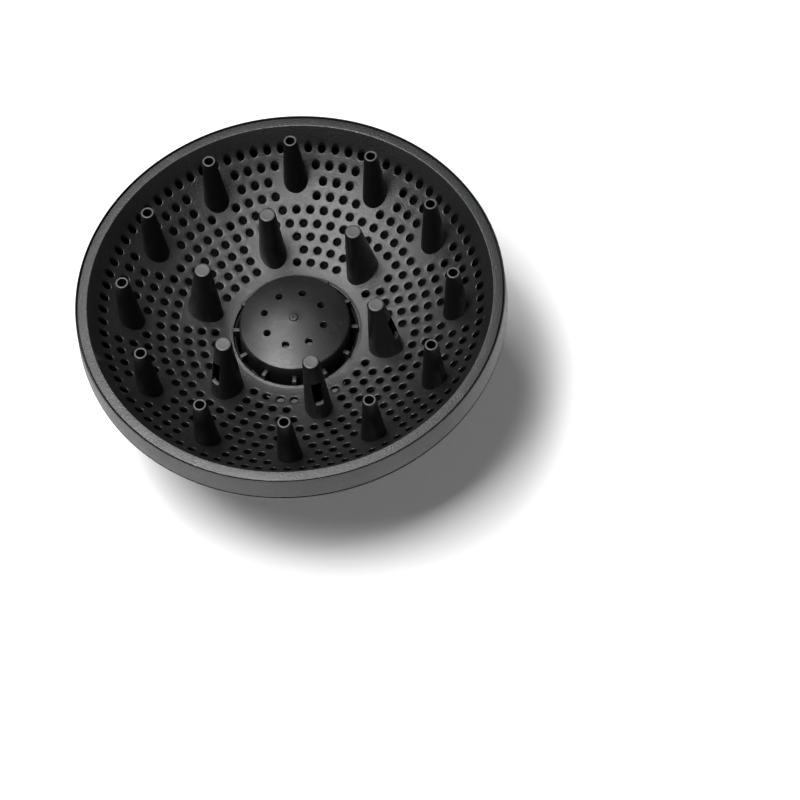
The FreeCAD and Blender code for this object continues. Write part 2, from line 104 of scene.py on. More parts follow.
class DiffuserDish(bpy.types.PropertyGroup):
    """Sizes of the perforated dish."""

    opening_radius: length("Opening radius", "Radius of the round opening in the floor", 25.4 * MM)
    opening_drop: length("Opening drop", "Rim top to the floor at the opening", 29.5 * MM)
    bead_rise: length("Bead rise", "Height of the bead round the opening", 0.35 * MM)
    rim_fall: length("Rim fall", "How much the rim's flat slopes down to its outer edge", 0.35 * MM)
    middle_radius: length("Middle radius", "Where the floor's two curves meet", 54.0 * MM)
    middle_drop: length("Middle drop", "Rim top to the floor where its curves meet", 21.6 * MM)
    foot_radius: length("Wall foot radius", "Where the floor turns up into the wall", 76.0 * MM)
    foot_drop: length("Wall foot drop", "Rim top to the foot of the wall", 7.3 * MM)
    inner_arc: length("Inner curve", "Radius of the floor's inner curve in section", 119.0 * MM)
    outer_arc: length("Outer curve", "Radius of the floor's outer curve in section", 74.0 * MM)
    rim_inner: length("Rim inner radius", "Inner radius of the flat rim", 80.6 * MM)
    rim_outer: length("Rim outer radius", "Outer radius of the flat rim", 84.55 * MM)
    rim_depth: length("Rim depth", "Thickness of the rim's edge", 2.4 * MM)
    wall: length("Wall", "Thickness of the dish", 2.0 * MM)
    skirt_outer: length("Skirt radius", "Outer radius of the locating skirt", 83.1 * MM)
    skirt_wall: length("Skirt wall", "Thickness of the locating skirt", 1.6 * MM)
    skirt_drop: length("Skirt drop", "Rim top to the foot of the skirt", 7.6 * MM)
    hole_radius: length("Hole radius", "Radius of each round hole", 1.55 * MM)
    hole_round: length("Hole rounding", "Rounding of each hole's edge", 0.42 * MM)
    hole_land: length("Hole land", "Least land between a hole and a finger", 0.6 * MM)
    ring_radius: length("Outermost ring", "Radius of the outermost ring of holes", 75.3 * MM)
    ring_pitch: length("Ring pitch", "Distance between rings of holes", 5.35 * MM)
    ring_count: many("Rings", "Number of rings of holes", 9)
    hole_count: many("Holes", "Holes in the outermost ring", 84)
    hole_step: many("Fewer holes", "Holes fewer in each ring inwards", 6)


class DiffuserFingers(bpy.types.PropertyGroup):
    """Sizes of both rings of fingers."""

    outer_circle: length("Outer circle", "Distance of the outer fingers from the axis", 65.2 * MM)
    outer_foot: length("Outer foot radius", "Radius of an outer finger at the dish", 5.35 * MM)
    outer_foot_drop: length("Outer foot drop", "Rim top to that foot", 19.0 * MM)
    outer_tip: length("Outer tip radius", "Radius of an outer finger's tip", 2.7 * MM)
    outer_bore: length("Outer bore radius", "Radius of the hole in an outer finger's tip", 1.65 * MM)
    outer_bore_foot: length("Outer bore foot", "Radius of that hole at the finger's lower end", 3.2 * MM)
    inner_circle: length("Inner circle", "Distance of the inner fingers' tips from the axis", 35.7 * MM)
    inner_tip: length("Inner tip radius", "Radius of an inner finger's tip", 3.4 * MM)
    inner_foot_near: length("Inner foot near", "Nearest point of an inner finger's foot to the axis", 30.7 * MM)
    inner_foot_far: length("Inner foot far", "Farthest point of that foot from the axis", 46.0 * MM)
    inner_foot_half: length("Inner foot half width", "Half the width of that foot", 5.6 * MM)
    inner_foot_drop: length("Inner foot drop", "Rim top to that foot", 29.0 * MM)
    inner_wall: length("Inner wall", "Thickness of an inner finger's wall", 1.5 * MM)
    window_width: length("Window width", "Width of the window in an inner finger", 3.8 * MM)
    window_top: length("Window top", "Finger tip to the top of the window", 9.0 * MM)
    window_foot: length("Window foot", "Finger tip to the foot of the window", 21.0 * MM)
    inner_turn: bpy.props.FloatProperty(name="Inner turn", description="Angle of the first inner finger",
                                        default=math.radians(45), unit="ROTATION")


class DiffuserHub(bpy.types.PropertyGroup):
    """Sizes of the centre deflector."""

    radius: length("Disc radius", "Radius of the disc", 22.3 * MM)
    plate: length("Disc thickness", "Disc crown to its flat underside", 4.1 * MM)
    skirt: length("Skirt thickness", "Thickness of the disc's skirt", 1.8 * MM)
    edge_fall: length("Edge fall", "How far the disc's edge lies below its crown", 3.6 * MM)
    foot_flare: length("Foot flare", "How far the skirt's foot stands out from the disc's edge", 0.7 * MM)
    edge_round: length("Edge rounding", "Rounding of the disc's edge", 1.0 * MM)
    hole_radius: length("Hole radius", "Radius of each air hole", 1.4 * MM)
    hole_circle: length("Hole circle", "Distance of the air holes from the axis", 12.5 * MM)
    hole_count: many("Air holes", "Number of air holes", 8)
    hole_turn: bpy.props.FloatProperty(name="Air hole turn", description="Angle of the first air hole",
                                       default=math.radians(30), unit="ROTATION")
    nub_radius: length("Nub radius", "Radius of the moulding nub", 1.9 * MM)
    nub_rise: length("Nub rise", "Height of the moulding nub", 0.45 * MM)
    rib_count: many("Ribs", "Number of ribs", 12)
    rib_width: length("Rib width", "Width of each rib", 1.8 * MM)
    rib_rise: length("Rib rise", "Foot of the ring to the top of a rib", 6.4 * MM)
    ring_width: length("Ring width", "Width of the seating ring", 1.1 * MM)
    ring_lift: length("Ring lift", "Foot of the skirt to the foot of the ring", 1.4 * MM)
    ring_rise: length("Ring rise", "Foot of the ring to its top", 2.4 * MM)


class DiffuserHousing(bpy.types.PropertyGroup):
    """Sizes of the rim band, the rear housing and the grip ring."""

    band_height: length("Band height", "Height of the rim band", 10.7 * MM)
    band_draft: length("Band draft", "How much smaller the band is at its top", 0.65 * MM)
    band_lip: length("Band lip", "Wall of the band beside the shadow line", 0.35 * MM)
    band_wall: length("Band wall", "Wall of the band at its foot", 2.8 * MM)
    shoulder: length("Shoulder", "How far the housing stands in from the band", 0.05 * MM)
    groove_rise: length("Groove height", "Height of the shadow line under the band", 0.7 * MM)
    groove_depth: length("Groove depth", "Depth of the shadow line under the band", 0.9 * MM)
    knee_radius: length("Knee radius", "Where the bell's side turns into its back", 70.0 * MM)
    knee_drop: length("Knee drop", "Rim top to the knee", 32.0 * MM)
    root_radius: length("Root radius", "Where the bell meets the neck's flare", 33.0 * MM)
    root_drop: length("Root drop", "Rim top to that place", 45.0 * MM)
    side_arc: length("Side curve", "Radius of the bell's side in section", 45.0 * MM)
    back_arc: length("Back curve", "Radius of the bell's back in section", 120.0 * MM)
    neck_drop: length("Neck drop", "Rim top to the start of the neck", 51.0 * MM)
    wall: length("Wall", "Thickness of the housing", 2.0 * MM)
    barrel_radius: length("Barrel radius", "Bore of the grip ring", 23.6 * MM)
    grip_wall: length("Grip wall", "Thickness of the grip ring", 1.6 * MM)
    neck_wall: length("Neck wall", "Wall of the neck outside the grip ring", 2.2 * MM)
    stop_radius: length("Stop radius", "Inner radius of the ledge that stops the barrel", 21.8 * MM)


class DiffuserFinish(bpy.types.PropertyGroup):
    """Colours of the plastics, the rubber and the floor."""

    dish_colour: tint("Dish", "Charcoal of the grained dish", (0.0070, 0.0070, 0.0075, 1.0))
    shell_colour: tint("Housing", "Charcoal of the band and housing", (0.0150, 0.0150, 0.0158, 1.0))
    finger_colour: tint("Fingers", "Black of the smooth fingers", (0.0032, 0.0032, 0.0035, 1.0))
    # Painted shade: this black darkens the faces deep inside the housing and round the seating ring.
    shaded_inner_colour: tint("Inside", "Black painted as shade on the inner faces", (0.0030, 0.0030, 0.0032, 1.0))
    grip_colour: tint("Grip", "Black of the soft grip ring", (0.012, 0.012, 0.012, 1.0))
    # Painted light: this pale grey is blended onto the fingers' upward faces so that their ends look lit.
    tip_light_colour: tint("Painted tip light", "Pale grey painted on the fingers' upward faces as light", (0.15, 0.15, 0.155, 1.0))
    dust_colour: tint("Dust", "Pale grey of the dust", (0.30, 0.30, 0.31, 1.0))
    floor_colour: tint("Floor", "White of the studio floor", (0.92, 0.92, 0.92, 1.0))


# -------------------------------------------------------------------------------- outlines

ROUND_STEPS = 5
ARC_STEPS = 14


def rounded(corners):
    """Points of a closed outline of (across, up, rounding) corners, with an arc at each corner that has one."""
    points = []
    for index, (across, up, rounding) in enumerate(corners):
        here = Vector((across, up))
        if rounding == 0:
            points.append(here)
            continue
        before = (Vector(corners[index - 1][:2]) - here).normalized()
        after = (Vector(corners[(index + 1) % len(corners)][:2]) - here).normalized()
        half = before.angle(after) / 2
        centre = here + (before + after).normalized() * rounding / math.sin(half)
        start = here + before * rounding / math.tan(half) - centre
        end = here + after * rounding / math.tan(half) - centre
        for step in range(ROUND_STEPS + 1):
            share = step / ROUND_STEPS
            points.append(centre + start.lerp(end, share).normalized() * rounding)
    return points


def curve_between(start, end, radius):
    """Corners along an arc between two points, bulging to the right of its direction, without its last point."""
    start, end = Vector(start), Vector(end)
    chord = end - start
    inward = Vector((-chord.y, chord.x)).normalized() * (1 if radius > 0 else -1)
    centre = (start + end) / 2 + inward * math.sqrt(radius ** 2 - (chord.length / 2) ** 2)
    corners = []
    for step in range(ARC_STEPS):
        spoke = (start - centre).lerp(end - centre, step / ARC_STEPS).normalized()
        point = centre + spoke * abs(radius)
        corners.append((point.x, point.y, 0))
    return corners


def floor_level(dish, radius):
    """Height of the dish's upper surface at a distance from the axis: two curves, then the wall."""
    spots = [Vector((dish.opening_radius, RIM_TOP - dish.opening_drop)),
             Vector((dish.middle_radius, RIM_TOP - dish.middle_drop)),
             Vector((dish.foot_radius, RIM_TOP - dish.foot_drop))]
    inner = radius < dish.middle_radius
    start, end, arc = (spots[0], spots[1], dish.inner_arc) if inner else (spots[1], spots[2], dish.outer_arc)
    chord = end - start
    centre = (start + end) / 2 + Vector((-chord.y, chord.x)).normalized() * math.sqrt(
        arc ** 2 - (chord.length / 2) ** 2)
    curve = centre.y - math.sqrt(max(arc ** 2 - (radius - centre.x) ** 2, 0))
    slope = dish.foot_drop / (dish.rim_inner - dish.foot_radius)
    wall = RIM_TOP + (radius - dish.rim_inner) * slope
    soft = 0.9 * MM
    return (curve + wall + math.sqrt((curve - wall) ** 2 + soft ** 2)) / 2 - soft ** 2 / 4 / (
        abs(curve - wall) + soft)


# -------------------------------------------------------------------------------- modelling

def select_only(shape):
    """Selects one shape and makes it the active one."""
    bpy.ops.object.select_all(action="DESELECT")
    shape.select_set(True)
    bpy.context.view_layer.objects.active = shape


def start_shape(name):
    """A new mesh object in edit mode, with a single point at the origin that is selected."""
    bpy.ops.object.select_all(action="DESELECT")
    bpy.ops.mesh.primitive_plane_add(size=MM, location=(0, 0, 0))
    shape = bpy.context.object
    shape.name = name
    shape.data.name = name
    bpy.ops.object.mode_set(mode="EDIT")
    bpy.ops.mesh.select_all(action="SELECT")
    bpy.ops.mesh.merge(type="CENTER")
    return shape


def lathe(name, points, steps, centre=(0.0, 0.0)):
    """Draws a closed outline point by point and spins it about an upright axis."""
    shape = start_shape(name)
    places = [Vector((centre[0] + point.x, centre[1], point.y)) for point in points]
    bpy.ops.transform.translate(value=places[0])
    for last, following in zip(places, places[1:] + places[:1]):
        bpy.ops.mesh.extrude_region_move(TRANSFORM_OT_translate={"value": following - last})
    bpy.ops.mesh.select_all(action="SELECT")
    bpy.ops.mesh.remove_doubles(threshold=SAME_PLACE)
    bpy.ops.mesh.select_all(action="SELECT")
    bpy.ops.mesh.spin(steps=steps, angle=2 * math.pi, center=(centre[0], centre[1], 0), axis=(0, 0, 1))
    close_shape()
    return shape


def close_shape():
    """Merges the shape's double points, turns its faces outwards and leaves edit mode."""
    bpy.ops.mesh.select_all(action="SELECT")
    bpy.ops.mesh.remove_doubles(threshold=SAME_PLACE)
    bpy.ops.mesh.select_all(action="SELECT")
    bpy.ops.mesh.normals_make_consistent(inside=False)
    bpy.ops.object.mode_set(mode="OBJECT")


def smooth(shape, degrees=34):
    """Smooth shading that keeps edges sharper than an angle."""
    select_only(shape)
    bpy.ops.object.shade_smooth_by_angle(angle=math.radians(degrees))


def even_shading(shape):
    """Lets the large faces set the shading, so a cut in a nearly flat surface leaves no streaks."""
    weighted = shape.modifiers.new("Even shading", "WEIGHTED_NORMAL")
    weighted.mode = "FACE_AREA"
    weighted.weight = 80
    weighted.keep_sharp = True
    apply_modifiers(shape)


def apply_modifiers(shape):
    """Applies every modifier of a shape in order."""
    select_only(shape)
    for modifier in list(shape.modifiers):
        bpy.ops.object.modifier_apply(modifier=modifier.name)


def carve(shape, tool, operation="DIFFERENCE"):
    """Cuts one closed shape out of another, or joins them, and removes the tool."""
    cut = shape.modifiers.new("Cut", "BOOLEAN")
    cut.operation = operation
    cut.solver = "EXACT"
    cut.object = tool
    apply_modifiers(shape)
    bpy.data.objects.remove(tool, do_unlink=True)


def soften(shape, width, degrees=40, segments=3):
    """Rounds every edge sharper than an angle."""
    bevel = shape.modifiers.new("Soft edges", "BEVEL")
    bevel.width = width
    bevel.segments = segments
    bevel.limit_method = "ANGLE"
    bevel.angle_limit = math.radians(degrees)
    bevel.use_clamp_overlap = True
    apply_modifiers(shape)


def rounded_block(size, middle, rounding, segments):
    """A block with rounded edges, by its size and the place of its middle."""
    bpy.ops.object.select_all(action="DESELECT")
    bpy.ops.mesh.primitive_cube_add(size=1, scale=size, location=middle)
    block = bpy.context.object
    bpy.ops.object.transform_apply(location=True, rotation=False, scale=True)
    bpy.ops.object.mode_set(mode="EDIT")
    bpy.ops.mesh.select_all(action="SELECT")
    bpy.ops.mesh.bevel(offset=rounding, segments=segments, affect="EDGES")
    bpy.ops.object.mode_set(mode="OBJECT")
    return block


def turned_copy(shape, name, angle):
    """A copy with its own mesh, turned about the object's axis."""
    copy = bpy.data.objects.new(name, shape.data.copy())
    copy.data.name = name
    copy.data.transform(Matrix.Rotation(angle, 4, "Z"))
    bpy.context.collection.objects.link(copy)
    return copy


def finish_piece(piece, material, slot, *nodes):
    """Gives a piece its material, its body and the frame nodes that it stands for."""
    piece.data.materials.clear()
    piece.data.materials.append(material)
    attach(piece, BODY)
    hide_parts(*nodes)


def shade_inner_faces(piece, is_inner):
    """Gives a finished piece's inner faces a darker, duller plastic, painted shade where they lie deep inside."""
    piece.data.materials.append(bpy.data.materials["Shaded inner plastic"])
    for face in piece.data.polygons:
        if is_inner(face):
            face.material_index = 1


# -------------------------------------------------------------------------------- materials

GRAIN_HEIGHT = 0.21 * MM
TIP_LIGHT_FROM, TIP_LIGHT_FULL = 0.75, 0.97    # upward share of a normal where the painted light on a finger's end begins and is full


def new_group(name, inputs, outputs):
    """An empty shader node group with named sockets, and its input and output nodes."""
    group = bpy.data.node_groups.new(name, "ShaderNodeTree")
    for label, kind, default in inputs:
        socket = group.interface.new_socket(label, in_out="INPUT", socket_type=kind)
        if default is not None:
            socket.default_value = default
    for label, kind in outputs:
        group.interface.new_socket(label, in_out="OUTPUT", socket_type=kind)
    return group, group.nodes.new("NodeGroupInput"), group.nodes.new("NodeGroupOutput")


def noise(tree, scale, detail=2.0, roughness=0.5):
    """A three-dimensional noise node."""
    node = tree.nodes.new("ShaderNodeTexNoise")
    node.inputs["Scale"].default_value = scale
    node.inputs["Detail"].default_value = detail
    node.inputs["Roughness"].default_value = roughness
    return node


def arithmetic(tree, operation, first, second):
    """A math node whose inputs are sockets or numbers; returns its output."""
    node = tree.nodes.new("ShaderNodeMath")
    node.operation = operation
    for index, value in enumerate((first, second)):
        if hasattr(value, "is_linked"):
            tree.links.new(value, node.inputs[index])
        else:
            node.inputs[index].default_value = value
    return node.outputs[0]


def remap(tree, value, low, high, to_low, to_high):
    """A clamped, smooth map of a value from one range to another."""
    node = tree.nodes.new("ShaderNodeMapRange")
    node.interpolation_type = "SMOOTHSTEP"
    tree.links.new(value, node.inputs["Value"])
    for label, number in (("From Min", low), ("From Max", high), ("To Min", to_low), ("To Max", to_high)):
        if hasattr(number, "is_linked"):
            tree.links.new(number, node.inputs[label])
        else:
            node.inputs[label].default_value = number
    return node.outputs["Result"]


def blend_colours(tree, share, first, second):
    """Mixes two colours by a share."""
    node = tree.nodes.new("ShaderNodeMix")
    node.data_type = "RGBA"
    tree.links.new(share, node.inputs["Factor"])
    tree.links.new(first, node.inputs["A"])
    tree.links.new(second, node.inputs["B"])
    return node.outputs["Result"]


def moulded_grain():
    """Spark-eroded mould grain: a height, and the small change of roughness that goes with it."""
    group, given, made = new_group(
        "Moulded grain",
        [("Position", "NodeSocketVector", None), ("Grain per metre", "NodeSocketFloat", 3000.0)],
        [("Height", "NodeSocketFloat"), ("Roughness change", "NodeSocketFloat")])
    fine = noise(group, 1.0, 2.0, 0.6)
    coarse = noise(group, 1.0, 1.0, 0.5)
    group.links.new(given.outputs["Position"], fine.inputs["Vector"])
    group.links.new(given.outputs["Position"], coarse.inputs["Vector"])
    group.links.new(given.outputs["Grain per metre"], fine.inputs["Scale"])
    group.links.new(arithmetic(group, "MULTIPLY", given.outputs["Grain per metre"], 0.60), coarse.inputs["Scale"])
    height = arithmetic(group, "ADD", arithmetic(group, "MULTIPLY", fine.outputs["Fac"], 0.80),
                        arithmetic(group, "MULTIPLY", coarse.outputs["Fac"], 0.20))
    group.links.new(height, made.inputs["Height"])
    group.links.new(arithmetic(group, "MULTIPLY", arithmetic(group, "SUBTRACT", coarse.outputs["Fac"], 0.5), 0.25),
                    made.inputs["Roughness change"])
    return group


def handling_marks():
    """Broad smears of changed gloss and shade from moulding and handling."""
    group, given, made = new_group(
        "Handling marks", [("Position", "NodeSocketVector", None), ("Strength", "NodeSocketFloat", 0.5)],
        [("Shade", "NodeSocketFloat"), ("Roughness change", "NodeSocketFloat")])
    smears = noise(group, 22.0, 4.0, 0.55)
    smears.inputs["Distortion"].default_value = 1.2
    clouds = noise(group, 60.0, 3.0, 0.6)
    for node in (smears, clouds):
        group.links.new(given.outputs["Position"], node.inputs["Vector"])
    smear = arithmetic(group, "SUBTRACT", smears.outputs["Fac"], 0.5)
    cloud = arithmetic(group, "SUBTRACT", clouds.outputs["Fac"], 0.5)
    both = arithmetic(group, "MULTIPLY", arithmetic(group, "ADD", smear, cloud), given.outputs["Strength"])
    group.links.new(arithmetic(group, "ADD", arithmetic(group, "MULTIPLY", both, 0.6), 1.0), made.inputs["Shade"])
    group.links.new(arithmetic(group, "MULTIPLY", both, 0.35), made.inputs["Roughness change"])
    return group


def specks_of_dust():
    """A mask of scattered pale specks."""
    group, given, made = new_group(
        "Specks of dust", [("Position", "NodeSocketVector", None), ("Amount", "NodeSocketFloat", 0.1)],
        [("Mask", "NodeSocketFloat")])
    cells = group.nodes.new("ShaderNodeTexVoronoi")
    cells.feature = "F1"
    cells.inputs["Scale"].default_value = 900.0
    patches = noise(group, 70.0, 2.0, 0.5)
    for node in (cells, patches):
        group.links.new(given.outputs["Position"], node.inputs["Vector"])
    speck = remap(group, cells.outputs["Distance"], 0.08, 0.2, 1.0, 0.0)
    patch = remap(group, patches.outputs["Fac"], 0.45, 0.75, 0.0, 1.0)
    chosen = group.nodes.new("ShaderNodeSeparateColor")
    group.links.new(cells.outputs["Color"], chosen.inputs["Color"])
    rare = remap(group, chosen.outputs["Red"], 0.70, 0.72, 0.0, 1.0)
    mask = arithmetic(group, "MULTIPLY", arithmetic(group, "MULTIPLY", speck, patch), rare)
    group.links.new(arithmetic(group, "MULTIPLY", mask, given.outputs["Amount"]), made.inputs["Mask"])
    return group


def edge_polish():
    """A mask of edges that handling has rubbed smoother and paler."""
    group, given, made = new_group(
        "Edge polish", [("Position", "NodeSocketVector", None), ("Edge", "NodeSocketFloat", 0.5)],
        [("Mask", "NodeSocketFloat")])
    breaks = noise(group, 260.0, 3.0, 0.6)
    group.links.new(given.outputs["Position"], breaks.inputs["Vector"])
    rubbed = remap(group, given.outputs["Edge"], 0.52, 0.62, 0.0, 1.0)
    broken = remap(group, breaks.outputs["Fac"], 0.30, 0.60, 0.35, 1.0)
    group.links.new(arithmetic(group, "MULTIPLY", rubbed, broken), made.inputs["Mask"])
    return group


def placed(tree, name, label=None, value=None):
    """A node in a material that holds a shared group, with one of its numbers set."""
    node = tree.nodes.new("ShaderNodeGroup")
    node.node_tree = bpy.data.node_groups[name]
    if label:
        node.inputs[label].default_value = value
    return node


def flat_colour(tree, colour):
    """The output of a node that gives one colour."""
    node = tree.nodes.new("ShaderNodeRGB")
    node.outputs[0].default_value = colour
    return node.outputs[0]


def plastic(name, colour, roughness, grain, grain_depth, marks, dust, edge_colour, specular=0.5, sheen=0.0,
            tip_light=0.0):
    """A moulded plastic or rubber of one colour, with grain, marks, dust and rubbed edges of its own strength."""
    material = bpy.data.materials.new(name)
    material.use_nodes = True
    tree = material.node_tree
    shader = tree.nodes["Principled BSDF"]
    shader.inputs["Specular IOR Level"].default_value = specular
    shader.inputs["Sheen Weight"].default_value = sheen
    position = tree.nodes.new("ShaderNodeTexCoord").outputs["Object"]
    edge = tree.nodes.new("ShaderNodeNewGeometry").outputs["Pointiness"]
    finish = bpy.context.scene.diffuser_finish

    grained = placed(tree, "Moulded grain", "Grain per metre", grain)
    marked = placed(tree, "Handling marks", "Strength", marks)
    dusty = placed(tree, "Specks of dust", "Amount", dust)
    rubbed = placed(tree, "Edge polish")
    for node in (grained, marked, dusty, rubbed):
        tree.links.new(position, node.inputs["Position"])
    tree.links.new(edge, rubbed.inputs["Edge"])

    shaded = tree.nodes.new("ShaderNodeVectorMath")
    shaded.operation = "SCALE"
    tree.links.new(flat_colour(tree, colour), shaded.inputs[0])
    tree.links.new(marked.outputs["Shade"], shaded.inputs["Scale"])
    with_edges = blend_colours(tree, rubbed.outputs["Mask"], shaded.outputs[0], flat_colour(tree, edge_colour))
    # Painted light: faces whose normal looks upward are blended towards a pale grey, a painted highlight on the
    # fingers' ends.
    facing = tree.nodes.new("ShaderNodeSeparateXYZ")
    tree.links.new(tree.nodes.new("ShaderNodeNewGeometry").outputs["Normal"], facing.inputs[0])
    with_edges = blend_colours(tree, remap(tree, facing.outputs["Z"], TIP_LIGHT_FROM, TIP_LIGHT_FULL, 0.0, tip_light),
                               with_edges, flat_colour(tree, finish.tip_light_colour))
    with_dust = blend_colours(tree, dusty.outputs["Mask"], with_edges, flat_colour(tree, finish.dust_colour))
    tree.links.new(with_dust, shader.inputs["Base Color"])

    changed = arithmetic(tree, "ADD", grained.outputs["Roughness change"], marked.outputs["Roughness change"])
    changed = arithmetic(tree, "SUBTRACT", changed, arithmetic(tree, "MULTIPLY", rubbed.outputs["Mask"], 0.10))
    changed = arithmetic(tree, "ADD", changed, arithmetic(tree, "MULTIPLY", dusty.outputs["Mask"], 0.30))
    tree.links.new(arithmetic(tree, "ADD", changed, roughness), shader.inputs["Roughness"])

    bump = tree.nodes.new("ShaderNodeBump")
    bump.inputs["Strength"].default_value = grain_depth
    bump.inputs["Distance"].default_value = GRAIN_HEIGHT
    tree.links.new(grained.outputs["Height"], bump.inputs["Height"])
    tree.links.new(bump.outputs["Normal"], shader.inputs["Normal"])
    return material


class DIFFUSER_OT_materials(bpy.types.Operator):
    """Makes the shared finish groups and the plastics and rubber that use them."""

    bl_idname = "diffuser.materials"
    bl_label = "Materials"

    def execute(self, context):
        finish = context.scene.diffuser_finish
        moulded_grain()
        handling_marks()
        specks_of_dust()
        edge_polish()
        plastic("Dish plastic", finish.dish_colour, roughness=0.42, grain=1900.0, grain_depth=1.0, marks=0.4,
                dust=0.4, edge_colour=(0.03, 0.03, 0.032, 1.0), specular=0.7)
        plastic("Disc plastic", finish.dish_colour, roughness=0.40, grain=2200.0, grain_depth=0.20, marks=0.5,
                dust=0.6, edge_colour=(0.02, 0.02, 0.021, 1.0), specular=0.42)
        plastic("Housing plastic", finish.shell_colour, roughness=0.44, grain=2000.0, grain_depth=0.85, marks=0.4,
                dust=0.3, edge_colour=(0.035, 0.035, 0.037, 1.0))
        # Painted shade: a darker, duller plastic for inner faces that lie in shade.
        plastic("Shaded inner plastic", finish.shaded_inner_colour, roughness=0.65, grain=2600.0, grain_depth=0.5, marks=0.4,
                dust=0.0, edge_colour=(0.004, 0.004, 0.004, 1.0), specular=0.18)
        # The fingers carry painted light on their upward faces.
        plastic("Finger plastic", finish.finger_colour, roughness=0.42, grain=2400.0, grain_depth=0.25, marks=0.4,
                dust=0.2, edge_colour=(0.012, 0.012, 0.013, 1.0), specular=0.4, tip_light=0.35)
        plastic("Grip rubber", finish.grip_colour, roughness=0.72, grain=1800.0, grain_depth=0.40, marks=0.8,
                dust=0.6, edge_colour=(0.03, 0.03, 0.03, 1.0), specular=0.35, sheen=0.15)
        return {"FINISHED"}


# -------------------------------------------------------------------------------- the dish

CELL_POINTS = 20               # points round each hole, and round the cell of floor that holds it
SEAM = 0.3 * MM                # plain strip between two rings of cells
HOLE_ARC = 3                   # steps in the rounding of a hole's edge


class PlateMesh:
    """Points and faces of the dish, gathered before they become a mesh."""

    def __init__(self):
        self.points = []
        self.faces = []

    def add(self, radius, angle, level):
        """Adds a point by its distance, direction and height; returns its number."""
        self.points.append((radius * math.cos(angle), radius * math.sin(angle), level))
        return len(self.points) - 1

    def strip(self, first, second):
        """Joins two closed rows that have as many points as each other."""
        for index in range(len(first)):
            after = (index + 1) % len(first)
            self.faces.append((first[index], first[after], second[after], second[index]))

    def stitch(self, first, second):
        """Joins two closed rows of (angle, point) that need not have as many points."""
        rows = [sorted(first), sorted(second)]
        ends = [row + [(row[0][0] + 2 * math.pi, row[0][1])] for row in rows]
        place = [0, 0]
        while place[0] < len(rows[0]) or place[1] < len(rows[1]):
            here = [ends[side][place[side]][1] for side in (0, 1)]
            following = [ends[side][place[side] + 1][0] if place[side] < len(rows[side]) else math.inf
                         for side in (0, 1)]
            side = 0 if following[0] <= following[1] else 1
            place[side] += 1
            self.faces.append((here[0], here[1], ends[side][place[side]][1]))


def finger_feet(dish, fingers):
    """Each finger's foot as its distance, direction, and half length and half width with the land round a hole."""
    land = dish.hole_radius + dish.hole_land
    feet = []
    for number in range(OUTER_COUNT):
        feet.append((fingers.outer_circle, 2 * math.pi * number / OUTER_COUNT, fingers.outer_foot + land,
                     fingers.outer_foot + land))
    middle = (fingers.inner_foot_near + fingers.inner_foot_far) / 2
    reach = (fingers.inner_foot_far - fingers.inner_foot_near) / 2
    for number in range(INNER_COUNT):
        feet.append((middle, fingers.inner_turn + 2 * math.pi * number / INNER_COUNT, reach + land,
                     fingers.inner_foot_half + land))
    return feet


def is_clear(radius, angle, feet):
    """Whether a hole at that place stays clear of every finger's foot."""
    return all(math.hypot((radius * math.cos(angle - turn) - circle) / reach,
                          radius * math.sin(angle - turn) / half_width) >= 1
               for circle, turn, reach, half_width in feet)


def square_spot(turn):
    """Where a ray at an angle meets a square of half side one."""
    across, out = math.cos(turn), math.sin(turn)
    longest = max(abs(across), abs(out))
    return across / longest, out / longest


def add_cell(plate, dish, ring_radius, angle, half_turn, holed):
    """Adds one cell of the floor, top and underside, with its round hole or without one."""
    half_depth = (dish.ring_pitch - SEAM) / 2
    turns = [math.pi / 4 + 2 * math.pi * point / CELL_POINTS for point in range(CELL_POINTS)]

    def border(depth):
        row = []
        for turn in turns:
            across, out = square_spot(turn)
            radius = ring_radius + out * half_depth
            row.append(plate.add(radius, angle - across * half_turn, floor_level(dish, radius) - depth))
        return row

    def circle(reach, depth):
        row = []
        for turn in turns:
            across, out = reach * math.cos(turn), reach * math.sin(turn)
            radius = math.hypot(ring_radius + out, across)
            bearing = angle - math.atan2(across, ring_radius + out)
            row.append(plate.add(radius, bearing, floor_level(dish, radius) - depth))
        return row

    top, under = border(0), border(dish.wall)
    if not holed:
        for row, depth in ((top, 0), (under, dish.wall)):
            middle = plate.add(ring_radius, angle, floor_level(dish, ring_radius) - depth)
            for index in range(CELL_POINTS):
                plate.faces.append((row[index], row[(index + 1) % CELL_POINTS], middle))
        return
    rows = [top]
    for step in range(HOLE_ARC + 1):
        turn = math.pi / 2 * step / HOLE_ARC
        rows.append(circle(dish.hole_radius + dish.hole_round * (1 - math.sin(turn)),
                           dish.hole_round * (1 - math.cos(turn))))
    rows += [circle(dish.hole_radius, dish.wall), under]
    for first, second in zip(rows, rows[1:]):
        plate.strip(first, second)


def border_row(plate, dish, radius, count, depth):
    """The row of points that a ring of cells has along one of its borders, as (angle, point)."""
    half_turn = math.pi / count
    shares = [square_spot(math.pi / 4 + 2 * math.pi * point / CELL_POINTS)[0] for point in range(CELL_POINTS // 4)]
    row = []
    for cell in range(count):
        for share in shares:
            angle = (2 * half_turn * cell + share * half_turn) % (2 * math.pi)
            row.append((angle, plate.add(radius, angle, floor_level(dish, radius) - depth)))
    return sorted(row)


def add_edge(plate, start, outline, finish):
    """Carries a row of (angle, point) round an outline of (radius, height) points to another row."""
    rows = [[point for _, point in start]]
    for across, up in outline:
        rows.append([plate.add(across, angle, up) for angle, _ in start])
    rows.append([point for _, point in finish])
    for first, second in zip(rows, rows[1:]):
        plate.strip(first, second)


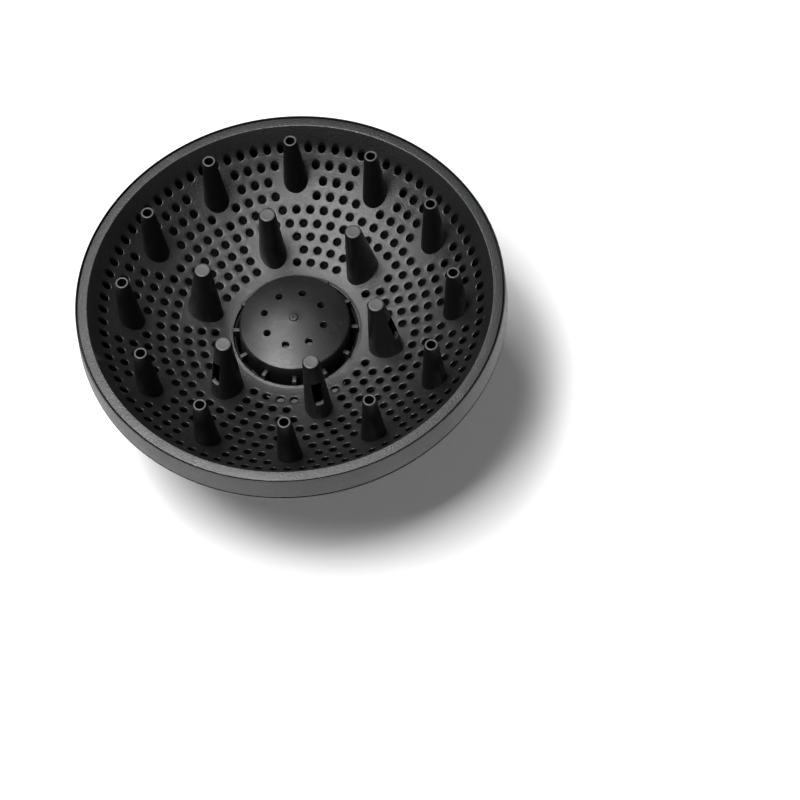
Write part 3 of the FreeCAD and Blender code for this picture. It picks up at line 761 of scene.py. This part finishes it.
def rim_outline(dish, start):
    """Outline from the outermost cells up the wall, over the rim, down the skirt and back under the wall."""
    skirt_inner = dish.skirt_outer - dish.skirt_wall
    corners = [
        (start, floor_level(dish, start), 0),
        (dish.rim_inner, RIM_TOP, 0.55 * MM),
        (dish.rim_outer, RIM_TOP - dish.rim_fall, 0.40 * MM),
        (dish.rim_outer, RIM_TOP - dish.rim_depth, 0),
        (dish.skirt_outer, RIM_TOP - dish.rim_depth, 0),
        (dish.skirt_outer, RIM_TOP - dish.skirt_drop, 0.2 * MM),
        (skirt_inner, RIM_TOP - dish.skirt_drop, 0.2 * MM),
        (skirt_inner, RIM_TOP - dish.rim_depth - 0.7 * dish.wall, 0),
    ]
    return [(point.x, point.y) for point in rounded(corners)][1:]


class DIFFUSER_OT_front_dish(bpy.types.Operator):
    """Builds the perforated dish with its rim, each hole with a rounded edge."""

    bl_idname = "diffuser.front_dish"
    bl_label = "Front dish"

    def execute(self, context):
        dish = context.scene.diffuser_dish
        feet = finger_feet(dish, context.scene.diffuser_fingers)
        plate = PlateMesh()
        half_depth = (dish.ring_pitch - SEAM) / 2
        inner_rows = None
        for ring in range(dish.ring_count):
            radius = dish.ring_radius - ring * dish.ring_pitch
            count = dish.hole_count - ring * dish.hole_step
            for cell in range(count):
                angle = 2 * math.pi * cell / count
                add_cell(plate, dish, radius, angle, math.pi / count, is_clear(radius, angle, feet))
            outer = [border_row(plate, dish, radius + half_depth, count, depth) for depth in (0, dish.wall)]
            if ring == 0:
                add_edge(plate, outer[0], rim_outline(dish, radius + half_depth), outer[1])
            else:
                for first, second in zip(inner_rows, outer):
                    plate.stitch(first, second)
            inner_rows = [border_row(plate, dish, radius - half_depth, count, depth) for depth in (0, dish.wall)]
        opening = dish.opening_radius
        floor = RIM_TOP - dish.opening_drop
        bead = floor + dish.bead_rise
        level = floor_level(dish, opening + 1.5 * MM)
        lip = rounded([
            (opening + 1.5 * MM, level, 0),
            (opening + 1.3 * MM, level, 0.4 * MM),
            (opening + 0.3 * MM, bead, 0.4 * MM),
            (opening, bead, 0.15 * MM),
            (opening, floor - dish.wall, 0.2 * MM),
            (opening + dish.wall, floor - dish.wall, 0),
            (opening + dish.wall, floor, 0),
        ])
        drawn = lip[:-2]               # the last two corners only set the direction of the rounding before them
        add_edge(plate, inner_rows[0], [(point.x, point.y) for point in drawn], inner_rows[1])

        mesh = bpy.data.meshes.new("dish_shell")
        mesh.from_pydata(plate.points, [], plate.faces)
        shape = bpy.data.objects.new("dish_shell", mesh)
        bpy.context.collection.objects.link(shape)
        select_only(shape)
        bpy.ops.object.mode_set(mode="EDIT")
        close_shape()
        smooth(shape, 38)
        finish_piece(shape, bpy.data.materials["Dish plastic"], "dish_plastic", "front_dish")
        return {"FINISHED"}


# -------------------------------------------------------------------------------- the fingers

class DIFFUSER_OT_outer_fingers(bpy.types.Operator):
    """Builds the ring of hollow tapering fingers, each open at its rounded tip."""

    bl_idname = "diffuser.outer_fingers"
    bl_label = "Outer fingers"

    def execute(self, context):
        fingers = context.scene.diffuser_fingers
        foot = RIM_TOP - fingers.outer_foot_drop
        taper = (fingers.outer_foot - fingers.outer_tip) / (OUTER_TIP - foot)
        low_radius = fingers.outer_foot + taper * (foot - OUTER_LOW)
        outline = rounded([
            (fingers.outer_bore_foot, OUTER_LOW, 0.3 * MM),
            (low_radius, OUTER_LOW, 0.3 * MM),
            (fingers.outer_tip, OUTER_TIP, 0.50 * MM),
            (fingers.outer_bore, OUTER_TIP, 0.40 * MM),
        ])
        first = lathe("outer_finger_shell_01", outline, 56, (fingers.outer_circle, 0.0))
        smooth(first)
        step = 2 * math.pi / OUTER_COUNT
        shells = [first] + [turned_copy(first, f"outer_finger_shell_{number + 1:02d}", step * number)
                            for number in range(1, OUTER_COUNT)]
        for number, shell in enumerate(shells):
            finish_piece(shell, bpy.data.materials["Finger plastic"], "finger_plastic",
                         f"outer_finger_{number + 1:02d}")
        return {"FINISHED"}


def oval_column(name, sections, points=64):
    """A closed column through oval sections (middle, height, half length, half width), along +X."""
    bpy.ops.object.select_all(action="DESELECT")
    middle, level, half_length, half_width = sections[0]
    bpy.ops.mesh.primitive_circle_add(vertices=points, radius=half_length, fill_type="NGON",
                                      location=(0, 0, 0))
    column = bpy.context.object
    column.name = name
    column.data.name = name
    bpy.ops.object.mode_set(mode="EDIT")
    bpy.ops.mesh.select_all(action="SELECT")
    bpy.ops.transform.resize(value=(1, half_width / half_length, 1), center_override=(0, 0, 0))
    bpy.ops.transform.translate(value=(middle, 0, level))
    for last, following in zip(sections, sections[1:]):
        bpy.ops.mesh.extrude_region_move(
            TRANSFORM_OT_translate={"value": (following[0] - last[0], 0, following[1] - last[1])})
        bpy.ops.transform.resize(value=(following[2] / last[2], following[3] / last[3], 1),
                                 center_override=(following[0], 0, following[1]))
    close_shape()
    return column


def horn_section(fingers, level, thinner=0.0):
    """The inner finger's oval section at a height, or that of its hollow when made thinner by its wall."""
    foot = RIM_TOP - fingers.inner_foot_drop
    share = (level - foot) / (INNER_TIP - foot)
    near = fingers.inner_foot_near + share * (fingers.inner_circle - fingers.inner_tip - fingers.inner_foot_near)
    far = fingers.inner_foot_far + share * (fingers.inner_circle + fingers.inner_tip - fingers.inner_foot_far)
    half_width = fingers.inner_foot_half + share * (fingers.inner_tip - fingers.inner_foot_half)
    return ((near + far) / 2, level, (far - near) / 2 - thinner, half_width - thinner)


TIP_STEPS = 4
TIP_EDGE = 0.75 * MM           # rounding of an inner finger's end
TIP_HOLLOW = 0.04 * MM         # depth of the shallow hollow in that end


def horn_tip(fingers):
    """Sections over the finger's rounded edge and down into the shallow hollow in its flat end."""
    sections = []
    middle, _, half_length, half_width = horn_section(fingers, INNER_TIP)
    for step in range(TIP_STEPS + 1):
        turn = math.pi / 2 * step / TIP_STEPS
        pulled = TIP_EDGE * (1 - math.cos(turn))
        sections.append((middle, INNER_TIP - TIP_EDGE * (1 - math.sin(turn)), half_length - pulled,
                         half_width - pulled))
    for step in range(TIP_STEPS + 1):
        turn = math.pi * step / TIP_STEPS
        pulled = TIP_EDGE + 0.50 * MM + 0.60 * MM * step / TIP_STEPS
        level = INNER_TIP - TIP_HOLLOW * (1 - math.cos(turn)) / 2
        sections.append((fingers.inner_circle, level, fingers.inner_tip - pulled, fingers.inner_tip - pulled))
    return sections


class DIFFUSER_OT_inner_fingers(bpy.types.Operator):
    """Builds the ring of closed fingers, each hollow below with a window in its outward side."""

    bl_idname = "diffuser.inner_fingers"
    bl_label = "Inner fingers"

    def execute(self, context):
        fingers = context.scene.diffuser_fingers
        levels = [INNER_LOW + (INNER_TIP - INNER_LOW) * share for share in (0.0, 0.25, 0.5, 0.75)]
        first = oval_column("inner_finger_shell_1",
                            [horn_section(fingers, level) for level in levels] + horn_tip(fingers))
        cap = 2.5 * MM
        hollow = oval_column("hollow", [horn_section(fingers, level, fingers.inner_wall)
                                        for level in (INNER_LOW - MM, INNER_TIP - cap)])
        carve(first, hollow)

        reach = fingers.inner_foot_far - fingers.inner_circle + 2 * MM
        window = rounded_block((reach, fingers.window_width, fingers.window_foot - fingers.window_top),
                               (fingers.inner_circle + reach / 2, 0,
                                INNER_TIP - (fingers.window_top + fingers.window_foot) / 2), 0.5 * MM, 4)
        carve(first, window)
        soften(first, 0.22 * MM, 42)
        smooth(first, 38)
        step = 2 * math.pi / INNER_COUNT
        first.data.transform(Matrix.Rotation(fingers.inner_turn, 4, "Z"))
        shells = [first] + [turned_copy(first, f"inner_finger_shell_{number + 1}", step * number)
                            for number in range(1, INNER_COUNT)]
        for number, shell in enumerate(shells):
            finish_piece(shell, bpy.data.materials["Finger plastic"], "finger_plastic",
                         f"inner_finger_{number + 1}")
        return {"FINISHED"}


# -------------------------------------------------------------------------------- the deflector

RIB_CLEARANCE = 0.02 * MM      # a rib stops this far short of the dish
HOLE_FLARE = 0.35 * MM         # rounding of an air hole's upper edge
FLARE_STEPS = 4
CROWN_SHARES = (0.2, 0.3, 0.4, 0.5, 0.67, 0.76, 0.86)    # places on the disc's crown, as shares of its radius


class DIFFUSER_OT_hub_deflector(bpy.types.Operator):
    """Builds the centre disc with its air holes and nub, its skirt, ribs and seating ring."""

    bl_idname = "diffuser.hub_deflector"
    bl_label = "Hub deflector"

    def execute(self, context):
        hub = context.scene.diffuser_hub
        opening = context.scene.diffuser_dish.opening_radius
        top = HUB_TOP - hub.nub_rise
        crown = hub.edge_fall
        under = top - hub.plate
        foot = hub.radius + hub.foot_flare
        outline = rounded([
            (0.0, HUB_TOP - 0.30 * MM, 0),
            (0.45 * MM, HUB_TOP - 0.25 * MM, 0),
            (0.65 * MM, HUB_TOP, 0.08 * MM),
            (hub.nub_radius - 0.3 * MM, HUB_TOP - 0.05 * MM, 0.25 * MM),
            (hub.nub_radius, top, 0.15 * MM),
        ] + [
            (hub.radius * share, top - crown * share ** 2, 0) for share in CROWN_SHARES
        ] + [
            (hub.radius, top - crown, hub.edge_round),
            (foot, HUB_LOW, 0.25 * MM),
            (foot - hub.skirt, HUB_LOW, 0.25 * MM),
            (hub.radius - hub.skirt, under, 0),
            (0.0, under, 0),
        ])
        disc = lathe("hub_disc", outline, 160)
        surface = top - crown * (hub.hole_circle / hub.radius) ** 2
        corners = [(0.0, under - 2 * MM, 0), (hub.hole_radius, under - 2 * MM, 0)]
        for step in range(FLARE_STEPS, -1, -1):
            bend = math.pi / 2 * step / FLARE_STEPS
            corners.append((hub.hole_radius + HOLE_FLARE * (1 - math.sin(bend)),
                            surface - HOLE_FLARE * (1 - math.cos(bend)), 0))
        corners += [(hub.hole_radius + HOLE_FLARE, top + MM, 0), (0.0, top + MM, 0)]
        for number in range(hub.hole_count):
            turn = hub.hole_turn + 2 * math.pi * number / hub.hole_count
            drill = lathe("drill", rounded(corners), 32,
                          (hub.hole_circle * math.cos(turn), hub.hole_circle * math.sin(turn)))
            carve(disc, drill)

        ring_foot = HUB_LOW + hub.ring_lift
        ring = lathe("seat_ring", rounded([
            (opening - hub.ring_width, ring_foot, 0.3 * MM),
            (opening, ring_foot, 0.3 * MM),
            (opening, ring_foot + hub.ring_rise, 0.3 * MM),
            (opening - hub.ring_width, ring_foot + hub.ring_rise, 0.3 * MM),
        ]), 160)
        inner = hub.radius - hub.skirt / 2
        outer = opening - RIB_CLEARANCE
        for number in range(hub.rib_count):
            turn = 2 * math.pi * number / hub.rib_count
            rib = rounded_block((outer - inner, hub.rib_width, hub.rib_rise),
                                ((inner + outer) / 2, 0, ring_foot + hub.rib_rise / 2), 0.3 * MM, 3)
            rib.data.transform(Matrix.Rotation(turn, 4, "Z"))
            carve(ring, rib, "UNION")
        carve(disc, ring, "UNION")
        smooth(disc, 38)
        even_shading(disc)
        finish_piece(disc, bpy.data.materials["Disc plastic"], "dish_plastic", "hub_deflector")
        # Painted shade on the seating ring and the rib ends in the gap under the disc.
        ring_edge = opening - hub.ring_width - 0.1 * MM
        ring_top = ring_foot + hub.ring_rise + 0.01 * MM
        shade_inner_faces(disc, lambda face: math.hypot(face.center.x, face.center.y) > ring_edge and
                   face.center.z < ring_top)
        return {"FINISHED"}


# -------------------------------------------------------------------------------- the housing

class DIFFUSER_OT_rim_band(bpy.types.Operator):
    """Builds the band round the rim, with the shadow line beside the dish."""

    bl_idname = "diffuser.rim_band"
    bl_label = "Rim band"

    def execute(self, context):
        housing = context.scene.diffuser_housing
        ledge = RIM_TOP - context.scene.diffuser_dish.rim_depth
        inner = RIM_RADIUS - housing.band_wall
        lip = RIM_RADIUS - housing.band_draft - housing.band_lip
        foot = RIM_TOP - housing.band_height
        band = lathe("rim_band_shell", rounded([
            (inner, foot, 0.2 * MM),
            (RIM_RADIUS, foot, 0.12 * MM),
            (RIM_RADIUS - housing.band_draft, RIM_TOP, 0.16 * MM),
            (lip, RIM_TOP, 0.10 * MM),
            (lip, ledge, 0),
            (inner, ledge, 0.2 * MM),
        ]), 256)
        smooth(band)
        finish_piece(band, bpy.data.materials["Housing plastic"], "housing_plastic", "rim_band")
        return {"FINISHED"}


class DIFFUSER_OT_rear_housing(bpy.types.Operator):
    """Builds the bell behind the dish and the neck that holds the grip ring."""

    bl_idname = "diffuser.rear_housing"
    bl_label = "Rear housing"

    def execute(self, context):
        housing = context.scene.diffuser_housing
        dish = context.scene.diffuser_dish
        edge = RIM_TOP - housing.band_height
        knee = (housing.knee_radius, RIM_TOP - housing.knee_drop)
        root = (housing.root_radius, RIM_TOP - housing.root_drop)
        inner_knee = (knee[0] - housing.wall * 0.6, knee[1] + housing.wall * 0.8)
        inner_root = (root[0] - housing.wall / 2, root[1] + housing.wall)
        grip_bore = housing.barrel_radius + housing.grip_wall
        neck = grip_bore + housing.neck_wall
        neck_top = RIM_TOP - housing.neck_drop
        skirt_inner = dish.skirt_outer - dish.skirt_wall
        shoulder = RIM_RADIUS - housing.shoulder
        corners = [
            (skirt_inner, RIM_TOP - dish.skirt_drop, 0.2 * MM),
            (dish.skirt_outer, RIM_TOP - dish.skirt_drop, 0.2 * MM),
            (dish.skirt_outer, edge, 0),
            (shoulder - housing.groove_depth, edge, 0),
            (shoulder - housing.groove_depth, edge - housing.groove_rise, 0),
            (shoulder - 0.15 * MM, edge - housing.groove_rise, 0),
        ]
        corners += curve_between((shoulder, edge - housing.groove_rise - 0.15 * MM), knee, -housing.side_arc)
        corners += curve_between(knee, root, -housing.back_arc)
        corners += [
            (root[0], root[1], 2.0 * MM),
            (neck, neck_top, 4.0 * MM),
            (neck, 0.0, 0.8 * MM),
            (housing.barrel_radius + 0.3 * MM, 0.0, 0.5 * MM),
            (housing.barrel_radius + 0.3 * MM, GRIP_LOW, 0),
            (grip_bore, GRIP_LOW, 0),
            (grip_bore, GRIP_TOP, 0),
            (housing.stop_radius, GRIP_TOP, 0.3 * MM),
            (housing.stop_radius, neck_top, 0.5 * MM),
        ]
        corners += curve_between(inner_root, inner_knee, housing.back_arc)
        corners += curve_between(inner_knee, (skirt_inner, edge - housing.wall), housing.side_arc)
        shell = lathe("rear_housing_shell", rounded(corners), 224)
        smooth(shell)
        finish_piece(shell, bpy.data.materials["Housing plastic"], "housing_plastic", "rear_housing")
        # Painted shade on the housing's inside faces.
        shade_inner_faces(shell, lambda face: face.normal.z > 0.5 or face.center.z > neck_top and
                   face.normal.x * face.center.x + face.normal.y * face.center.y < 0)
        return {"FINISHED"}


class DIFFUSER_OT_neck_grip_ring(bpy.types.Operator):
    """Builds the soft ring in the neck, with shallow grooves that let it grip."""

    bl_idname = "diffuser.neck_grip_ring"
    bl_label = "Neck grip ring"

    def execute(self, context):
        housing = context.scene.diffuser_housing
        bore = housing.barrel_radius
        outer = bore + housing.grip_wall
        grooves = 4
        groove_depth = 0.45 * MM
        groove_half = 0.8 * MM
        corners = [(bore, GRIP_LOW, 0.5 * MM), (outer, GRIP_LOW, 0.2 * MM), (outer, GRIP_TOP, 0.2 * MM),
                   (bore, GRIP_TOP, 0.5 * MM)]
        for number in range(grooves, 0, -1):
            level = GRIP_LOW + (GRIP_TOP - GRIP_LOW) * number / (grooves + 1)
            corners += [(bore, level + groove_half, 0.15 * MM),
                        (bore + groove_depth, level + groove_half * 0.6, 0.15 * MM),
                        (bore + groove_depth, level - groove_half * 0.6, 0.15 * MM),
                        (bore, level - groove_half, 0.15 * MM)]
        ring = lathe("neck_grip_sleeve", rounded(corners), 128)
        smooth(ring)
        finish_piece(ring, bpy.data.materials["Grip rubber"], "grip_rubber", "neck_grip_ring")
        return {"FINISHED"}


# -------------------------------------------------------------------------------- the stage

CAMERA_PLACE = Vector((0.1023, -0.6486, RIM_TOP + 1.0315))
CAMERA_TURN = (math.radians(30.07), math.radians(3.25), 0.0)
CAMERA_LENS = 139.0            # millimetres on a sensor 36 mm wide
SOFTBOXES = (                  # name, place, size and power
    ("Key softbox", (-0.32, -0.20, 1.28), 0.50, 20.0),
    ("Back softbox", (-0.34, 0.46, 1.27), 0.55, 10.0),
)


def softbox(name, place, size, power, aim):
    """A square area light that faces a point."""
    data = bpy.data.lights.new(name, "AREA")
    data.size = size
    data.energy = power
    lamp = bpy.data.objects.new(name, data)
    lamp.location = place
    lamp.rotation_euler = (Vector(aim) - Vector(place)).to_track_quat("-Z", "Y").to_euler()
    bpy.context.collection.objects.link(lamp)


class DIFFUSER_OT_stage(bpy.types.Operator):
    """Sets a pale floor, soft studio light and the camera."""

    bl_idname = "diffuser.stage"
    bl_label = "Stage"

    def execute(self, context):
        bpy.ops.object.select_all(action="DESELECT")
        bpy.ops.mesh.primitive_plane_add(size=6.0, location=(0, 0, CAD_BOUNDS[0][2] - 0.0002))
        floor = context.object
        floor.name = "studio_floor"
        bpy.ops.object.transform_apply(location=True)
        paper = bpy.data.materials.new("Floor paper")
        paper.use_nodes = True
        shader = paper.node_tree.nodes["Principled BSDF"]
        shader.inputs["Base Color"].default_value = context.scene.diffuser_finish.floor_colour
        shader.inputs["Roughness"].default_value = 0.9
        shader.inputs["Specular IOR Level"].default_value = 0.1
        shader.inputs["Emission Color"].default_value = (1.0, 1.0, 1.0, 1.0)
        shader.inputs["Emission Strength"].default_value = 0.10
        floor.data.materials.append(paper)

        aim = (0.0, 0.0, RIM_TOP / 2)
        for name, place, size, power in SOFTBOXES:
            softbox(name, place, size, power, aim)
        world = bpy.data.worlds.new("Studio")
        world.use_nodes = True
        backdrop = world.node_tree.nodes["Background"]
        backdrop.inputs["Color"].default_value = (1.0, 1.0, 1.0, 1.0)
        backdrop.inputs["Strength"].default_value = 0.06
        context.scene.world = world
        context.scene.view_settings.view_transform = "Standard"

        data = bpy.data.cameras.new("Studio camera")
        data.lens = CAMERA_LENS
        data.sensor_width = 36.0
        data.clip_end = 20.0
        camera = bpy.data.objects.new("Studio camera", data)
        camera.location = CAMERA_PLACE
        camera.rotation_euler = CAMERA_TURN
        context.collection.objects.link(camera)
        context.scene.camera = camera
        return {"FINISHED"}


# -------------------------------------------------------------------------------- the add-on

GROUPS = {
    "diffuser_dish": DiffuserDish,
    "diffuser_fingers": DiffuserFingers,
    "diffuser_hub": DiffuserHub,
    "diffuser_housing": DiffuserHousing,
    "diffuser_finish": DiffuserFinish,
}
OPERATORS = (
    DIFFUSER_OT_materials,
    DIFFUSER_OT_front_dish,
    DIFFUSER_OT_outer_fingers,
    DIFFUSER_OT_inner_fingers,
    DIFFUSER_OT_hub_deflector,
    DIFFUSER_OT_rim_band,
    DIFFUSER_OT_rear_housing,
    DIFFUSER_OT_neck_grip_ring,
    DIFFUSER_OT_stage,
)


class DIFFUSER_PT_panel(bpy.types.Panel):
    """Lists the diffuser's pieces and their sizes."""

    bl_idname = "DIFFUSER_PT_panel"
    bl_label = "Dryer Diffuser"
    bl_space_type = "VIEW_3D"
    bl_region_type = "UI"
    bl_category = "Diffuser"

    def draw(self, context):
        for operator in OPERATORS:
            self.layout.operator(operator.bl_idname)
        for attribute, group in GROUPS.items():
            box = self.layout.box()
            for name in group.__annotations__:
                box.prop(getattr(context.scene, attribute), name)


def register():
    """Registers every class and hangs the size groups on the scene."""
    for kind in (*GROUPS.values(), *OPERATORS, DIFFUSER_PT_panel):
        bpy.utils.register_class(kind)
    for attribute, group in GROUPS.items():
        setattr(bpy.types.Scene, attribute, bpy.props.PointerProperty(type=group))


def unregister():
    """Takes the size groups off the scene and unregisters every class."""
    for attribute in GROUPS:
        delattr(bpy.types.Scene, attribute)
    for kind in reversed((*GROUPS.values(), *OPERATORS, DIFFUSER_PT_panel)):
        bpy.utils.unregister_class(kind)


def main():
    """Builds every piece and the stage."""
    register()
    bpy.ops.diffuser.materials()
    bpy.ops.diffuser.front_dish()
    bpy.ops.diffuser.outer_fingers()
    bpy.ops.diffuser.inner_fingers()
    bpy.ops.diffuser.hub_deflector()
    bpy.ops.diffuser.rim_band()
    bpy.ops.diffuser.rear_housing()
    bpy.ops.diffuser.neck_grip_ring()
    bpy.ops.diffuser.stage()


if __name__ == "__main__":
    main()
